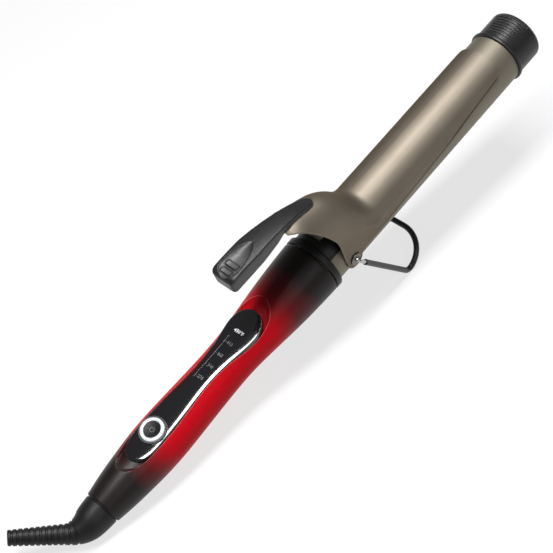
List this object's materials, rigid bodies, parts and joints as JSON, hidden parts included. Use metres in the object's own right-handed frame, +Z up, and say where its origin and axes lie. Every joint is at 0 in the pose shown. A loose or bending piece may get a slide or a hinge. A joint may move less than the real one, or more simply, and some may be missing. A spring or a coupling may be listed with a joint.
{
  "type": "curling iron",
  "caption": "Spring-clip curling iron: tapered handle with recessed gloss panel and power button, heated barrel, clip with thumb lever, wire rest stand and swivel cord boot",
  "frame": {"origin": "middle of the footprint box on the surface the iron stands on (on the two bends of its rest stand and the rim of its tail)", "axes": "+X runs from the cord boot to the tip, +Z is up, Y is across the iron"},
  "size_m": [0.395, 0.0468, 0.0956],
  "materials": {
    "handle_softtouch": "soft-touch satin coat, red fading to black at both ends",
    "gloss_black": "high-gloss black",
    "black_plastic": "fine-textured matte black",
    "bright_metal": "bright plated",
    "barrel_bronze": "satin bronze coat",
    "clip_bronze": "satin bronze coat",
    "rubber_black": "matte",
    "sleeve_black": "satin heat-proof sleeve",
    "wire_steel": "drawn wire",
    "spring_steel": "dark tempered strip",
    "core_aluminium": "as extruded",
    "ceramic_white": "unglazed",
    "brass_bright": "turned",
    "board_green": "solder mask",
    "parts_mixed": "moulded component bodies",
    "inner_plastic": "heat-proof moulding",
    "clear_plastic": "clear rods",
    "screw_steel": "zinc plated"
  },
  "bodies": {
    "handle": {"handle_sleeve": "handle_softtouch", "control_panel": "gloss_black", "button_bezel": "gloss_black", "chassis_cradle": "inner_plastic", "circuit_board": "board_green", "board_components": "parts_mixed", "tact_switch": "parts_mixed", "level_lights": "clear_plastic", "light_guides": "clear_plastic", "board_screws": "screw_steel", "barrel_tube": "barrel_bronze", "collar_ring": "black_plastic", "barrel_insulator": "inner_plastic", "neck_screws": "screw_steel", "heater_block_upper": "core_aluminium", "heater_block_lower": "core_aluminium", "ceramic_heater": "ceramic_white", "insulating_sheets": "ceramic_white", "thermistor": "ceramic_white", "thermal_fuse": "bright_metal", "heater_leads": "inner_plastic", "cool_tip": "black_plastic", "tip_insulator": "inner_plastic", "tip_screw": "screw_steel", "hinge_eyelets": "bright_metal", "swivel_bush": "inner_plastic", "contact_fingers": "brass_bright"},
    "clip": {"clip_plate": "clip_bronze", "lever_cover": "black_plastic", "lever_rivets": "screw_steel", "clip_spring": "spring_steel"},
    "stand": {"stand_wire": "wire_steel", "stand_sleeve": "sleeve_black"},
    "power_button": {"button_ring": "bright_metal", "button_cap": "black_plastic"},
    "swivel": {"swivel_spindle": "inner_plastic", "slip_rings": "brass_bright", "cord_boot": "rubber_black"}
  },
  "joints": [
    {"name": "clip_hinge", "type": "hinge", "parent": "handle", "child": "clip", "pos_m": [0.02956, -0.00189, 0.04575], "axis": [0, -1, 0], "range_deg": [0, 25], "stiffness_Nm_per_rad": 0.5, "springref_deg": -20.05, "deforming": ["clip_spring"]},
    {"name": "stand_hinge", "type": "hinge", "parent": "handle", "child": "stand", "pos_m": [0.02956, -0.00189, 0.04575], "axis": [0, 1, 0], "range_deg": [0, 120]},
    {"name": "power_button_press", "type": "slide", "parent": "handle", "child": "power_button", "axis": [0.1918, 0, -0.9814], "range_m": [0, 0.0006], "stiffness_N_per_m": 900, "springref_m": -0.0006},
    {"name": "cord_swivel", "type": "hinge", "parent": "handle", "child": "swivel", "pos_m": [-0.15108, -0.00189, 0.01077], "axis": [0.9814, 0, 0.1918], "continuous": true}
  ]
}
